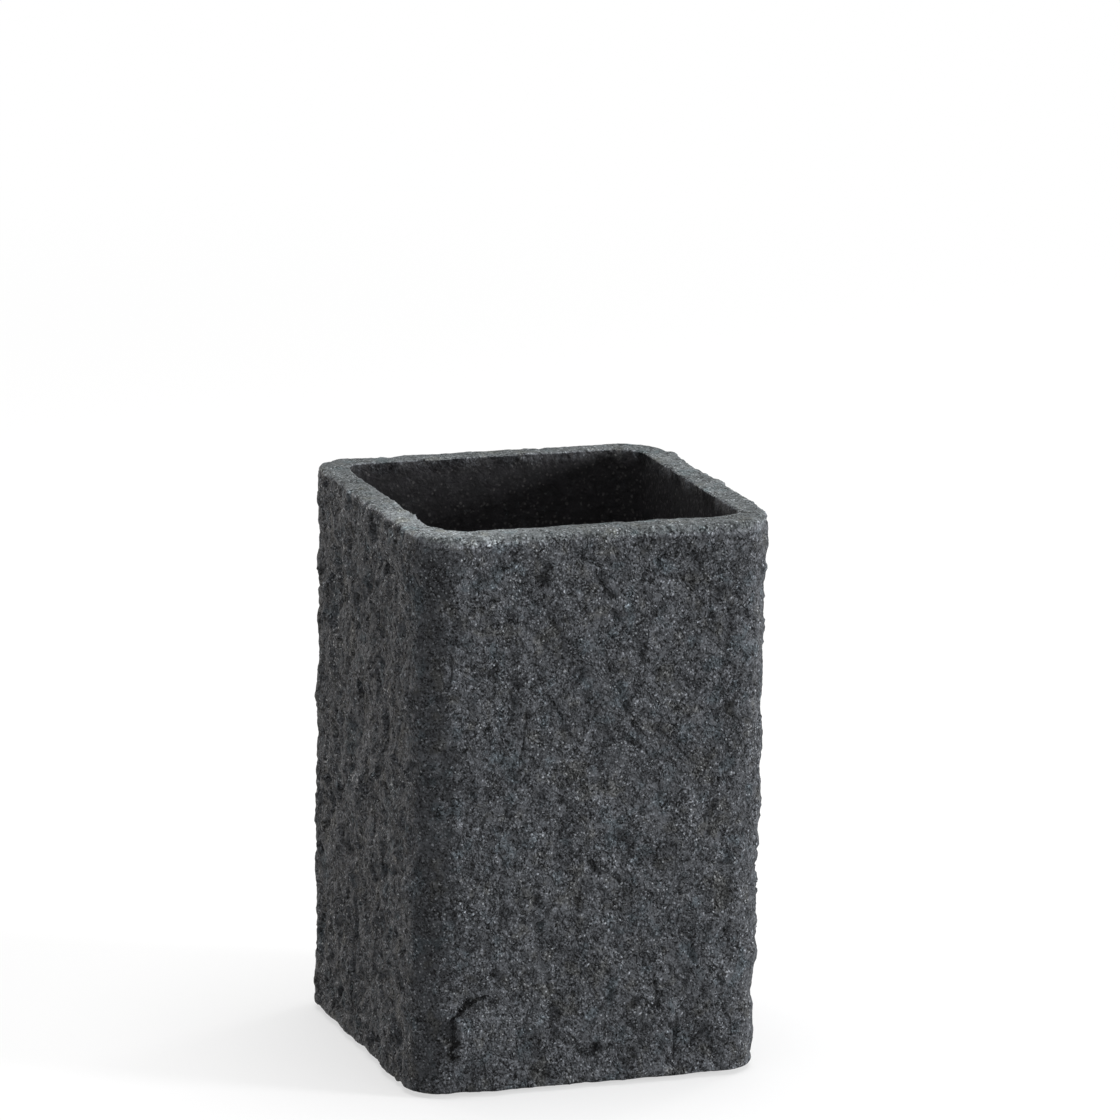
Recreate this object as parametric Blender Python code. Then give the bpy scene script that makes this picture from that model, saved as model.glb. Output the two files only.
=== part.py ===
"""A square toothbrush tumbler: one cast stone-look body that stands on four stick-on anti-slip feet.

The body is a rounded-square cup, open at the top. Its four outer faces are rough like split stone, its rim
is flat with worn edges, and its cavity is smooth and narrows a little towards the floor. The underside is
ground flat and has a shallow round pocket near each corner. A disc of tape holds a rubber foot in each pocket.
Lengths are in metres, +Z is up, and the origin is on the standing surface, below the middle of the body.
"""

import math

import bmesh
import bpy
from mathutils import Vector, noise

# Body, measured to the mean surface of its rough faces
BODY_WIDTH = 0.070
BODY_DEPTH = 0.070
OVERALL_HEIGHT = 0.1066
OUTER_CORNER_RADIUS = 0.009
OUTER_DRAFT = 0.0005
BASE_ROUND = 0.0016

# Rim and cavity
RIM_WALL = 0.0055
RIM_OUTER_ROUND = 0.0013
RIM_INNER_ROUND = 0.0011
CAVITY_CORNER_RADIUS = 0.0069
CAVITY_DRAFT = 0.0010
CAVITY_FLOOR_ROUND = 0.0040
FLOOR_THICKNESS = 0.0070

# Split-stone relief of the outer faces: broad swells, flake scars between ridges, and plates that stand proud
SWELL_HEIGHT = 0.00085
SWELL_SIZE = 0.0078
SCAR_DEPTH = 0.00075
SCAR_SIZE = 0.0100
PLATE_HEIGHT = 0.00055
RELIEF_SEED_OFFSET = 0.1370

# Feet, their tape and the pockets that they sit in
FOOT_DIAMETER = 0.0100
FOOT_STAND = 0.0008
FOOT_EDGE_ROUND = 0.0004
FOOT_FROM_SIDE = 0.0130
TAPE_THICKNESS = 0.0003
TAPE_DIAMETER = 0.0094
POCKET_DEPTH = 0.0016
POCKET_CLEARANCE = 0.0003
SEAT_GAP = 0.0003

# How finely the surfaces are divided
FACE_CELL = 0.0029
CORNER_CELLS = 5
ROUND_STEPS = 3
CAVITY_WALL_LEVELS = 2
FOOT_SEGMENTS = 32
CUT_OVERRUN = 0.0010
SMOOTH_BELOW_ANGLE = math.radians(40)

# Relief strength of a level: full on the faces, less where the rim and the base are worn
RIM_RELIEF_SHARE = 0.55
BASE_RELIEF_SHARE = 0.45
SCAR_MEAN_SHARE = 0.36

# How much less relief the rounded upright corners have, where handling has worn them, and how soon that sets in
LEFT_CORNER_CALM_SHARE = 0.42
RIGHT_CORNER_CALM_SHARE = 0.22
CORNER_RAMP_SHARE = 0.26

# Each plate: quarter turns of its face from the front, then the place of its middle and its half sizes, across
# and up, as shares of the body's width and of its height
PLATE_SHARES = (
    (0, -0.285, 0.115, 0.110, 0.065),
    (1, -0.230, 0.480, 0.115, 0.080),
    (2, 0.215, 0.260, 0.115, 0.080),
    (3, -0.030, 0.440, 0.100, 0.075),
)
PLATE_SLOPE_SHARE = 0.30

# Where each foot stands, as directions along X and Y from the middle
FOOT_PLACES = {
    "front_left": (-1, -1),
    "front_right": (1, -1),
    "back_left": (-1, 1),
    "back_right": (1, 1),
}

FINISHES = {
    "stone": {"colour": (0.062, 0.066, 0.072), "roughness": 0.85},
    "rubber": {"colour": (0.020, 0.020, 0.021), "roughness": 0.60},
    "tape": {"colour": (0.560, 0.540, 0.480), "roughness": 0.35},
}

CAVITY_FLOOR_Z = FOOT_STAND + FLOOR_THICKNESS
POCKET_ROOF_Z = FOOT_STAND + POCKET_DEPTH


def clear_scene():
    for old in list(bpy.data.objects):
        bpy.data.objects.remove(old, do_unlink=True)


def make_material(name):
    finish = FINISHES[name]
    material = bpy.data.materials.new(name)
    material.use_nodes = True
    shader = material.node_tree.nodes["Principled BSDF"]
    shader.inputs["Base Color"].default_value = (*finish["colour"], 1)
    shader.inputs["Roughness"].default_value = finish["roughness"]
    shader.inputs["Metallic"].default_value = 0
    return material


def plate_rise(point, outward):
    """How far the plates that stand proud add at a point, in metres."""
    rise = 0
    for turns, across_share, up_share, half_width_share, half_height_share in PLATE_SHARES:
        facing = Vector((math.sin(math.pi / 2 * turns), -math.cos(math.pi / 2 * turns), 0))
        sideways = Vector((-facing.y, facing.x, 0))
        across = (point.dot(sideways) / BODY_WIDTH - across_share) / half_width_share
        up = (point.z / OVERALL_HEIGHT - up_share) / half_height_share
        inside = (1 - math.hypot(across, up)) / PLATE_SLOPE_SHARE
        rise += PLATE_HEIGHT * min(1, max(0, inside)) * max(0, facing.dot(outward))
    return rise


def relief(point, outward):
    """How far the rough face stands out of its mean surface at a point, in metres."""
    place = point + Vector((RELIEF_SEED_OFFSET,) * 3)
    swell = noise.noise(place / SWELL_SIZE)
    nearest = noise.voronoi(place / SCAR_SIZE)[0][0]
    ridge = nearest * nearest - SCAR_MEAN_SHARE
    corner = min(1, min(abs(outward.x), abs(outward.y)) / CORNER_RAMP_SHARE)
    calm = corner * (LEFT_CORNER_CALM_SHARE if outward.x < 0 else RIGHT_CORNER_CALM_SHARE)
    return (SWELL_HEIGHT * swell + SCAR_DEPTH * ridge + plate_rise(point, outward)) * (1 - calm)


def outline(half_width, half_depth, radius):
    """A rounded rectangle, anticlockwise from its front side, as (point, outward direction) pairs."""
    side_cells = {
        "x": max(2, round((BODY_WIDTH - 2 * OUTER_CORNER_RADIUS) / FACE_CELL)),
        "y": max(2, round((BODY_DEPTH - 2 * OUTER_CORNER_RADIUS) / FACE_CELL)),
    }
    corners = ((1, -1), (1, 1), (-1, 1), (-1, -1))
    loop = []
    for turn, (side_x, side_y) in enumerate(corners):
        centre = Vector((side_x * (half_width - radius), side_y * (half_depth - radius), 0))
        arc = []
        for step in range(CORNER_CELLS + 1):
            angle = math.pi / 2 * (turn - 1 + step / CORNER_CELLS)
            outward = Vector((math.cos(angle), math.sin(angle), 0))
            arc.append((centre + radius * outward, outward))
        if loop:
            loop += straight(loop[-1], arc[0], side_cells["y" if turn % 2 else "x"])
        loop += arc
    return loop + straight(loop[-1], loop[0], side_cells["x"])


def straight(start, end, cells):
    """The points between two corners, with neither end."""
    outward = start[1]
    return [(start[0].lerp(end[0], step / cells), outward) for step in range(1, cells)]


def body_levels():
    """The body's rings from the middle of its underside, up its faces, over the rim and down to its floor.

    Each ring is (inset from the rim's outer edge, height, corner radius, share of the relief).
    """
    half_steps = [math.pi / 2 * step / ROUND_STEPS for step in range(ROUND_STEPS + 1)]
    levels = []

    for angle in half_steps:
        inset = OUTER_DRAFT + BASE_ROUND * (1 - math.sin(angle))
        height = FOOT_STAND + BASE_ROUND * (1 - math.cos(angle))
        levels.append((inset, height, OUTER_CORNER_RADIUS - inset, BASE_RELIEF_SHARE))

    low = FOOT_STAND + BASE_ROUND
    high = OVERALL_HEIGHT - RIM_OUTER_ROUND
    cells = max(2, round((high - low) / FACE_CELL))
    for cell in range(1, cells):
        up = cell / cells
        inset = OUTER_DRAFT * (1 - up)
        levels.append((inset, low + (high - low) * up, OUTER_CORNER_RADIUS - inset, 1))

    for angle in half_steps:
        inset = RIM_OUTER_ROUND * (1 - math.cos(angle))
        height = high + RIM_OUTER_ROUND * math.sin(angle)
        levels.append((inset, height, rim_corner_radius(inset), RIM_RELIEF_SHARE * math.cos(angle)))

    for angle in half_steps:
        inset = RIM_WALL - RIM_INNER_ROUND * (1 - math.sin(angle))
        height = OVERALL_HEIGHT - RIM_INNER_ROUND * (1 - math.cos(angle))
        levels.append((inset, height, rim_corner_radius(inset), 0))

    top = OVERALL_HEIGHT - RIM_INNER_ROUND
    low = CAVITY_FLOOR_Z + CAVITY_FLOOR_ROUND
    for level in range(1, CAVITY_WALL_LEVELS + 1):
        down = level / (CAVITY_WALL_LEVELS + 1)
        narrowing = CAVITY_DRAFT * down
        levels.append((RIM_WALL + narrowing, top + (low - top) * down, CAVITY_CORNER_RADIUS - narrowing, 0))

    for angle in half_steps:
        narrowing = CAVITY_DRAFT + CAVITY_FLOOR_ROUND * (1 - math.cos(angle))
        height = low - CAVITY_FLOOR_ROUND * math.sin(angle)
        levels.append((RIM_WALL + narrowing, height, CAVITY_CORNER_RADIUS - narrowing, 0))
    return levels


def rim_corner_radius(inset):
    """Across the rim the corners go from the outer radius to the cavity's."""
    return OUTER_CORNER_RADIUS + (CAVITY_CORNER_RADIUS - OUTER_CORNER_RADIUS) * inset / RIM_WALL


def loft(mesh, rings):
    """Closes a stack of rings with the same count of points into one solid, from the first ring to the last."""
    rows = [[mesh.verts.new(point) for point in ring] for ring in rings]
    for lower, upper in zip(rows, rows[1:]):
        for here in range(len(lower)):
            after = (here + 1) % len(lower)
            mesh.faces.new((lower[here], lower[after], upper[after], upper[here]))
    mesh.faces.new(reversed(rows[0]))
    mesh.faces.new(rows[-1])


def circle(radius, height, segments=FOOT_SEGMENTS):
    turns = [2 * math.pi * step / segments for step in range(segments)]
    return [(radius * math.cos(turn), radius * math.sin(turn), height) for turn in turns]


def make_object(name, rings_of_solids, material, parent=None, place=(0, 0, 0)):
    mesh = bmesh.new()
    for rings in rings_of_solids:
        loft(mesh, rings)
    data = bpy.data.meshes.new(name)
    mesh.to_mesh(data)
    mesh.free()
    data.shade_smooth()
    data.set_sharp_from_angle(angle=SMOOTH_BELOW_ANGLE)
    if material:
        data.materials.append(material)
    return place_object(name, data, parent, place)


def place_object(name, data, parent, place):
    made = bpy.data.objects.new(name, data)
    bpy.context.scene.collection.objects.link(made)
    made.parent = parent
    made.location = place
    return made


def foot_places():
    across = BODY_WIDTH / 2 - FOOT_FROM_SIDE
    along = BODY_DEPTH / 2 - FOOT_FROM_SIDE
    return {name: (side_x * across, side_y * along) for name, (side_x, side_y) in FOOT_PLACES.items()}


def body_rings():
    rings = []
    for inset, height, radius, relief_share in body_levels():
        ring = []
        for point, outward in outline(BODY_WIDTH / 2 - inset, BODY_DEPTH / 2 - inset, radius):
            point = point + Vector((0, 0, height))
            if relief_share:
                point = point + outward * relief(point, outward) * relief_share
            ring.append(point)
        rings.append(ring)
    return rings


def make_body(parent, material):
    """The cast cup, with a pocket for each foot cut into its flat underside."""
    body = make_object("tumbler_body", [body_rings()], material, parent)
    radius = FOOT_DIAMETER / 2 + POCKET_CLEARANCE
    pockets = []
    for x, y in foot_places().values():
        low = [(x + px, y + py, pz) for px, py, pz in circle(radius, FOOT_STAND - CUT_OVERRUN)]
        high = [(x + px, y + py, pz) for px, py, pz in circle(radius, POCKET_ROOF_Z)]
        pockets.append([low, high])
    cutter = make_object("foot_pocket_cutter", pockets, None, parent)
    cutter.hide_render = True
    cutter.display_type = "WIRE"
    cut = body.modifiers.new("foot_pockets", "BOOLEAN")
    cut.operation = "DIFFERENCE"
    cut.solver = "EXACT"
    cut.object = cutter
    return body


def tape_rings():
    """A disc below the pocket's roof, in the foot's own frame."""
    top = POCKET_ROOF_Z - SEAT_GAP
    return [circle(TAPE_DIAMETER / 2, top - TAPE_THICKNESS), circle(TAPE_DIAMETER / 2, top)]


def foot_rings():
    """A flat rubber button from the standing surface up to the tape, with its lower edge rounded."""
    radius = FOOT_DIAMETER / 2
    top = POCKET_ROOF_Z - SEAT_GAP - TAPE_THICKNESS - SEAT_GAP
    rings = []
    for step in range(ROUND_STEPS + 1):
        angle = math.pi / 2 * step / ROUND_STEPS
        inset = FOOT_EDGE_ROUND * (1 - math.sin(angle))
        rings.append(circle(radius - inset, FOOT_EDGE_ROUND * (1 - math.cos(angle))))
    rings.append(circle(radius, top))
    return rings


def make_feet(parent, rubber, tape):
    """Four alike feet and tape discs; each foot's origin is where its axis meets the standing surface."""
    foot_mesh = None
    tape_mesh = None
    for name, (x, y) in foot_places().items():
        if foot_mesh is None:
            foot_mesh = make_object(f"foot_{name}", [foot_rings()], rubber, parent, (x, y, 0)).data
            tape_mesh = make_object(f"foot_tape_{name}", [tape_rings()], tape, parent, (x, y, 0)).data
        else:
            place_object(f"foot_{name}", foot_mesh, parent, (x, y, 0))
            place_object(f"foot_tape_{name}", tape_mesh, parent, (x, y, 0))


def main():
    clear_scene()
    tumbler = place_object("tumbler", None, None, (0, 0, 0))
    make_body(tumbler, make_material("stone"))
    make_feet(tumbler, make_material("rubber"), make_material("tape"))


main()
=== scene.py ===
import math

import bmesh
import bpy
import numpy as np
from mathutils import Matrix, Vector, noise


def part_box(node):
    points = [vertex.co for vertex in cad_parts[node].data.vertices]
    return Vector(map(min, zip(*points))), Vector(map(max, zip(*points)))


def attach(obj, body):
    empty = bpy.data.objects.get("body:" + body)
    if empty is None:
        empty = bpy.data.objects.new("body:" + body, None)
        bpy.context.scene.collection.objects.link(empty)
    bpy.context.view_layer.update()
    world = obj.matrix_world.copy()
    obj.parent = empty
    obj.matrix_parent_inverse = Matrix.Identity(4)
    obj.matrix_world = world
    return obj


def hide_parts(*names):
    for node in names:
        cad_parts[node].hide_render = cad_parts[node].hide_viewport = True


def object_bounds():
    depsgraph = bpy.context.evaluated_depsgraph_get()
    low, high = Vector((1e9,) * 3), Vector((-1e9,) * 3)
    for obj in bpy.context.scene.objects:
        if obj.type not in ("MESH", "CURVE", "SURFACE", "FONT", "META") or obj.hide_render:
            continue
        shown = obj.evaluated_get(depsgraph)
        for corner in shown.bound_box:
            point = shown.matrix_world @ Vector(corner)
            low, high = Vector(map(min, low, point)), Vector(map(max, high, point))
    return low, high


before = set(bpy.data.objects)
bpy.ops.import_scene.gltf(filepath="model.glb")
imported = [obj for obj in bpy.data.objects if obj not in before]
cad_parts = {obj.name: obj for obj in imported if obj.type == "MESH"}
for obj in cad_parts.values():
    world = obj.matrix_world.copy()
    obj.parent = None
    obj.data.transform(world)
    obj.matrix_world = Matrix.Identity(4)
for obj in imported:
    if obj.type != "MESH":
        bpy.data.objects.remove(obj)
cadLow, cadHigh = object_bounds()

mm = 0.001
print("frame loaded:", sorted(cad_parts))


# Node trees, for materials and for geometry

class Socket:  # a node's output that can be used in sums
    def __init__(self, tree, out):
        self.tree = tree
        self.out = out

    def math(self, operation, *others):
        values = dict(enumerate((self, *others)))
        return self.tree.add("ShaderNodeMath", {"operation": operation}, values)

    def mathAfter(self, operation, first):  # the same with this value as the second one
        return self.tree.add("ShaderNodeMath", {"operation": operation}, {0: first, 1: self})

    def __add__(self, other):
        return self.math("ADD", other)

    def __sub__(self, other):
        return self.math("SUBTRACT", other)

    def __rsub__(self, other):
        return self.mathAfter("SUBTRACT", other)

    def __mul__(self, other):
        return self.math("MULTIPLY", other)

    def __truediv__(self, other):
        return self.math("DIVIDE", other)

    def __rtruediv__(self, other):
        return self.mathAfter("DIVIDE", other)

    def __rpow__(self, other):
        return self.mathAfter("POWER", other)

    __radd__ = __add__
    __rmul__ = __mul__

    def between(self, low, high):  # a soft step, from 0 at low to 1 at high
        values = {"Value": self, "From Min": low, "From Max": high}
        return self.tree.add("ShaderNodeMapRange", {"interpolation_type": "SMOOTHSTEP"}, values)


class Tree:
    def __init__(self, nodeTree):
        self.nodes = nodeTree.nodes
        self.links = nodeTree.links

    def add(self, kind, settings=None, values=None, output=0):
        node = self.nodes.new(kind)
        for name, value in (settings or {}).items():
            if name == "stops":
                self.setStops(node.color_ramp, value)
            else:
                setattr(node, name, value)
        for name, value in (values or {}).items():
            self.feed(node.inputs[name], value)
        return Socket(self, node.outputs[output])

    def setStops(self, ramp, stops):
        while len(ramp.elements) < len(stops):
            ramp.elements.new(1)
        for element, (place, colour) in zip(ramp.elements, stops):
            element.position = place
            element.color = colour

    def feed(self, entry, value):
        if isinstance(value, Socket):
            self.links.new(value.out, entry)
        else:
            entry.default_value = value

    def other(self, socket, output):  # another output of the node that made a socket
        return Socket(self, socket.out.node.outputs[output])

    def noise(self, place, size, detail=2.0, roughness=0.5, warp=0.0):
        values = {"Vector": place, "Scale": 1 / size, "Detail": detail, "Roughness": roughness, "Distortion": warp}
        return self.add("ShaderNodeTexNoise", {}, values)

    def cells(self, place, size):
        return self.add("ShaderNodeTexVoronoi", {}, {"Vector": place, "Scale": 1 / size})

    def vector(self, operation, *values, output="Vector", scale=None):
        fed = {index: value if isinstance(value, Socket) else tuple(value)[:3] for index, value in enumerate(values)}
        if scale is not None:
            fed["Scale"] = scale
        return self.add("ShaderNodeVectorMath", {"operation": operation}, fed, output)

    def blend(self, factor, first, second, how="MIX"):
        settings = {"data_type": "RGBA", "blend_type": how}
        return self.add("ShaderNodeMix", settings, {0: factor, 6: first, 7: second}, 2)

    def squashed(self, place, direction, share):  # a pattern read at such places is drawn out along the direction
        along = self.vector("DOT_PRODUCT", place, direction, output="Value") * share
        return self.vector("SUBTRACT", place, self.vector("SCALE", direction, scale=along))

    # split faces: each cell is a small plane, tilted its own way; bends and steps are shares of a cell
    def planes(self, place, size, tilt, shift=0.0, bendSize=0.8, bendReach=0.8, stepShare=0.5):
        bend = self.noise(self.vector("ADD", place, (shift,) * 3), size * bendSize)
        bent = self.vector("SCALE", place, scale=1 / size)
        bent = self.vector("ADD", bent, self.vector("SCALE", self.other(bend, "Color"), scale=bendReach))
        split = self.cells(bent, 1.0)
        lean = self.vector("SUBTRACT", self.other(split, "Color"), (0.5,) * 3)
        apart = self.vector("SUBTRACT", bent, self.other(split, "Position"))
        step = self.vector("DOT_PRODUCT", lean, (0.5,) * 3, output="Value")
        return (self.vector("DOT_PRODUCT", lean, apart, output="Value") + step * stepShare) * size * tilt

    # level plates one above another: how far the surface is above its plate, and 1 at a plate's edge
    def ledges(self, place, size, steps, drop=(0.70, 1.0), edgeStart=(0.62, 0.82), edgeEnd=(1.0, 0.88)):
        part = (self.noise(place, size, 2.5, 0.5, 0.4) * steps).math("FRACT")
        return part - part.between(*drop), part.between(*edgeStart) * part.between(*edgeEnd)


def product(first, second):  # of two fixed colours
    return tuple(a * b for a, b in zip(first, second))


# Camera, from the same place as the photograph's

camera = {
    "turn": -19.398,           # degrees round the tumbler, from its front to its left
    "rise": 13.253,            # degrees above the horizon
    "roll": 1.085,             # degrees
    "distance": 1345.2 * mm,
    "focalLength": 7134.3 / 1120,   # in picture widths
    "aimRight": 3.88 * mm,     # from the point below to the picture's centre
    "aimUp": 37.13 * mm,
    "lookAt": Vector((0, 0, 54.8 * mm)),
    "sensor": 36.0,            # mm
    "clip": (0.01, 20),
}


def makeCamera():
    turn = math.radians(camera["turn"])
    rise = math.radians(camera["rise"])
    back = Vector((math.sin(turn) * math.cos(rise), -math.cos(turn) * math.cos(rise), math.sin(rise)))
    right = Vector((math.cos(turn), math.sin(turn), 0))
    up = back.cross(right)
    data = bpy.data.cameras.new("camera")
    data.sensor_width = camera["sensor"]
    data.lens = camera["sensor"] * camera["focalLength"]
    data.clip_start, data.clip_end = camera["clip"]
    made = bpy.data.objects.new("camera", data)
    bpy.context.scene.collection.objects.link(made)
    aim = camera["lookAt"] + right * camera["aimRight"] + up * camera["aimUp"]
    axes = Matrix((right, up, back)).transposed().to_4x4()
    roll = Matrix.Rotation(math.radians(camera["roll"]), 4, "Z")
    made.matrix_world = Matrix.Translation(aim + back * camera["distance"]) @ axes @ roll
    bpy.context.scene.camera = made


makeCamera()
print("camera placed")


# Body: the cast cup, lofted fine enough to carry the stone's relief

body = {
    "width": 70 * mm,
    "depth": 70 * mm,
    "top": cadHigh.z,
    "bottom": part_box("tumbler_body")[0].z,
    "cornerRadius": 9 * mm,
    "draft": 0.5 * mm,
    "baseRound": 0.6 * mm,
    "wall": 5.5 * mm,
    "rimOuterRound": 1.1 * mm,
    "rimInnerRound": 0.45 * mm,
    "cavityRadius": 6.9 * mm,
    "cavityCorners": (0.68, 0.80, 0.66, 1.0),   # shares of that radius: front right, back right, back left, front left
    "cavityDraft": 1.0 * mm,
    "cavityFloorRound": 4.0 * mm,
    "floor": 7.0 * mm,
    "cell": 0.60 * mm,
    "rimCell": 0.45 * mm,
    "cavityCell": 2.4 * mm,
    "swellHeight": 0.85 * mm,
    "swellSize": 7.8 * mm,
    "scarDepth": 0.75 * mm,
    "scarSize": 10.0 * mm,
    "scarMean": 0.36,
    "seedOffset": 137 * mm,
    "rimRelief": 0.75,         # the broad relief's share on the rim, and at the body's foot
    "baseRelief": 0.65,
    "footCells": 4,            # over so many cells it grows to its full height above the foot
    "baseRough": 0.15,         # the fine relief's share on the underside's edge, at the foot of the faces,
    "footRough": 0.50,         # at the rim's inner edge and where the cavity begins
    "rimRough": 0.60,
    "cavityRough": 0.10,
    "rimFade": 2.4 * mm,       # how far down the outer faces the rim's worn finish, and the painted highlight below its edge, reach
    "rimEdgeWearAndHighlight": 0.80,
    "sideCrisp": 0.80,         # how much less of that worn finish and painted highlight the left and right faces have
    "sideStart": 0.80,         # a face counts as left or right from this share of its outward direction
    "cavityStart": 0.75,       # how much of the cavity's dark colour, a darker finish with painted shade, the rim's inner round has at its foot
    "leftCornerCalm": 0.42,    # how much less relief the rounded corners have
    "rightCornerCalm": 0.22,
    "cornerRamp": 0.26,
    "edgeSteps": 4,
    "pocketSides": 64,
    "sharpAngle": 50,          # degrees
}

# Marks that stand out of the random relief. Lengths in mm: across the side from its middle, and height.
marks = {
    # Each stroke: the side (quarter turns from the front), its points, half its width, its depth, and how dark it is
    # painted: painted shade in a groove, or below zero a raised ridge painted paler as painted light
    "strokes": [
        (0, [(-21.3, 19.2), (-23.9, 18.4), (-25.9, 16.6), (-27.5, 15.3), (-26.9, 13.4), (-27.1, 11.7), (-26.4, 10.9),
             (-27.5, 9.4), (-27.1, 7.6)], 0.34, 0.75, 2.6),
        (0, [(-0.7, 97.6), (0.6, 95.4), (2.3, 93.8)], 0.34, 0.65, 2.2),
        (0, [(3.0, 90.5), (6.0, 86.5), (8.5, 84.0)], 0.25, 0.40, 1.0),
        (0, [(1.6, 81.5), (2.8, 76.0), (6.5, 71.0), (13.0, 67.2), (18.5, 61.4)], 0.22, 0.28, 1.1),
        (0, [(4.0, 67.0), (9.0, 64.5), (12.0, 60.5)], 0.20, 0.20, 0.9),
        (0, [(-14.0, 72.4), (-14.2, 69.0), (-14.6, 65.6), (-15.2, 63.8)], 0.26, 0.50, 1.5),
        (0, [(-9.5, 75.2), (-8.4, 73.8), (-7.2, 72.0)], 0.28, 0.50, 1.6),
        (0, [(20.8, 69.8), (24.0, 71.0), (27.0, 69.2)], 0.30, 0.45, 1.4),
        (0, [(-0.7, 43.2), (0.3, 41.8)], 0.60, 0.75, 2.2),
        (0, [(-18.4, 38.2), (-18.2, 34.6), (-18.6, 31.4)], 0.32, 0.30, 1.5),
        (0, [(-1.9, 6.9), (-0.6, 6.2), (0.8, 7.6)], 0.75, 0.90, 2.4),
        (0, [(12.3, 19.4), (12.9, 14.4)], 0.40, 0.60, 1.6),
        (0, [(16.9, 11.8), (16.3, 4.8)], 0.40, 0.60, 1.7),
        (0, [(20.6, 12.2), (22.4, 13.9), (26.0, 14.0)], 0.28, 0.45, 1.4),
        (0, [(-3.9, 53.6), (4.0, 58.6)], 0.35, -0.22, -0.6),
        (0, [(-2.7, 51.8), (0.7, 46.8)], 0.35, -0.20, -0.5),
        (0, [(-35.5, 63.3), (-31.0, 65.8)], 0.50, -0.45, -0.6),
        (3, [(-12.0, 60.0), (-9.0, 66.0), (-9.5, 73.0)], 0.34, 0.40, 1.6),
        (3, [(14.0, 22.0), (10.5, 28.0), (11.5, 35.0)], 0.34, 0.45, 1.6),
        (3, [(20.0, 84.0), (24.0, 90.0)], 0.40, -0.35, -0.5),
        (3, [(-22.0, 96.0), (-20.0, 88.0), (-21.0, 80.0)], 0.34, 0.45, 1.6),
        (3, [(2.0, 92.0), (4.0, 86.0), (3.0, 79.0)], 0.34, 0.40, 1.4),
        (3, [(-2.0, 30.0), (-4.0, 22.0), (-3.0, 16.0)], 0.34, 0.40, 1.4),
        (1, [(-8.0, 30.0), (-3.0, 24.0), (-2.0, 17.0)], 0.34, 0.45, 1.6),
        (1, [(16.0, 76.0), (9.0, 80.0)], 0.34, 0.35, 1.4),
        (1, [(-18.0, 90.0), (-14.0, 84.0), (-13.0, 77.0)], 0.30, 0.40, 1.4),
        (2, [(10.0, 61.0), (4.0, 55.0), (5.0, 48.0)], 0.34, 0.45, 1.6),
        (2, [(-20.0, 88.0), (-15.0, 92.0)], 0.40, -0.35, -0.5),
        (2, [(-22.0, 40.0), (-18.0, 33.0), (-19.0, 27.0)], 0.30, 0.40, 1.4),
    ],
    "narrowest": 0.42,         # half the width of the narrowest groove that the mesh can carry
    "crackReach": 1.0,         # the finish reads a stroke this far off in full, and then less for as far again
    "noCrack": 40.0,           # what it reads where no stroke is near, in half widths
    "cornerFree": 1.0,         # the part of a rounded corner, from its start, that carries no marks
    # Each flake: the side, its outline, how far it stands proud, and the direction in which it sinks into the face
    "flakes": [
        (0, [(-27.4, 8.2), (-26.8, 12.0), (-27.2, 15.3), (-23.3, 18.4), (-14.0, 17.4), (-12.0, 15.3), (-13.0, 9.8),
             (-17.0, 6.6), (-24.0, 6.3)], 0.95, (0.85, -0.35)),
        (1, [(-20, 44), (-24, 51), (-20, 58), (-12, 60), (-8, 55), (-10, 46)], 0.55, (0, -1)),
        (1, [(-24, 100), (-22, 108), (25, 108), (27, 102), (8, 97)], 0.80, (0, -1)),
        (2, [(12, 20), (7, 27), (10, 34), (19, 35), (23, 28), (19, 21)], 0.55, (0, -1)),
        (3, [(-6, 40), (-9, 48), (-5, 54), (2, 55), (4, 48), (1, 41)], 0.55, (0, -1)),
    ],
    "flakeEdge": 0.45,
    "flakeLevel": 1.2,         # above 1, a part of the flake stays level before it sinks
    # how much paler a flake is painted where it stands proud: painted light on its raised plate
    "flakePaintedLight": 0.30,
}


def broadRelief(point):  # the swells and scars that the solid has
    place = point + Vector((body["seedOffset"],) * 3)
    swell = noise.noise(place / body["swellSize"])
    nearest = noise.voronoi(place / body["scarSize"])[0][0]
    return body["swellHeight"] * swell + body["scarDepth"] * (nearest * nearest - body["scarMean"])


def lineDistance(points, line):  # above zero on a line's left, below zero on its right
    line = np.array(line, float)
    nearest = np.full(len(points), np.inf)
    for first, second in zip(line, line[1:]):
        along = second - first
        share = np.clip((points - first) @ along / (along @ along), 0, 1)
        apart = points - first - share[:, None] * along
        distance = np.linalg.norm(apart, axis=1)
        side = np.sign(along[0] * apart[:, 1] - along[1] * apart[:, 0])
        nearest = np.where(distance < abs(nearest), distance * side, nearest)
    return nearest


def insideOutline(points, outline):
    inside = np.zeros(len(points), bool)
    for first, second in zip(outline, np.roll(outline, -1, 0)):
        crosses = (first[1] > points[:, 1]) != (second[1] > points[:, 1])
        rise = second[1] - first[1] or 1
        at = first[0] + (points[:, 1] - first[1]) * (second[0] - first[0]) / rise
        inside ^= crosses & (points[:, 0] < at)
    return inside


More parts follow.
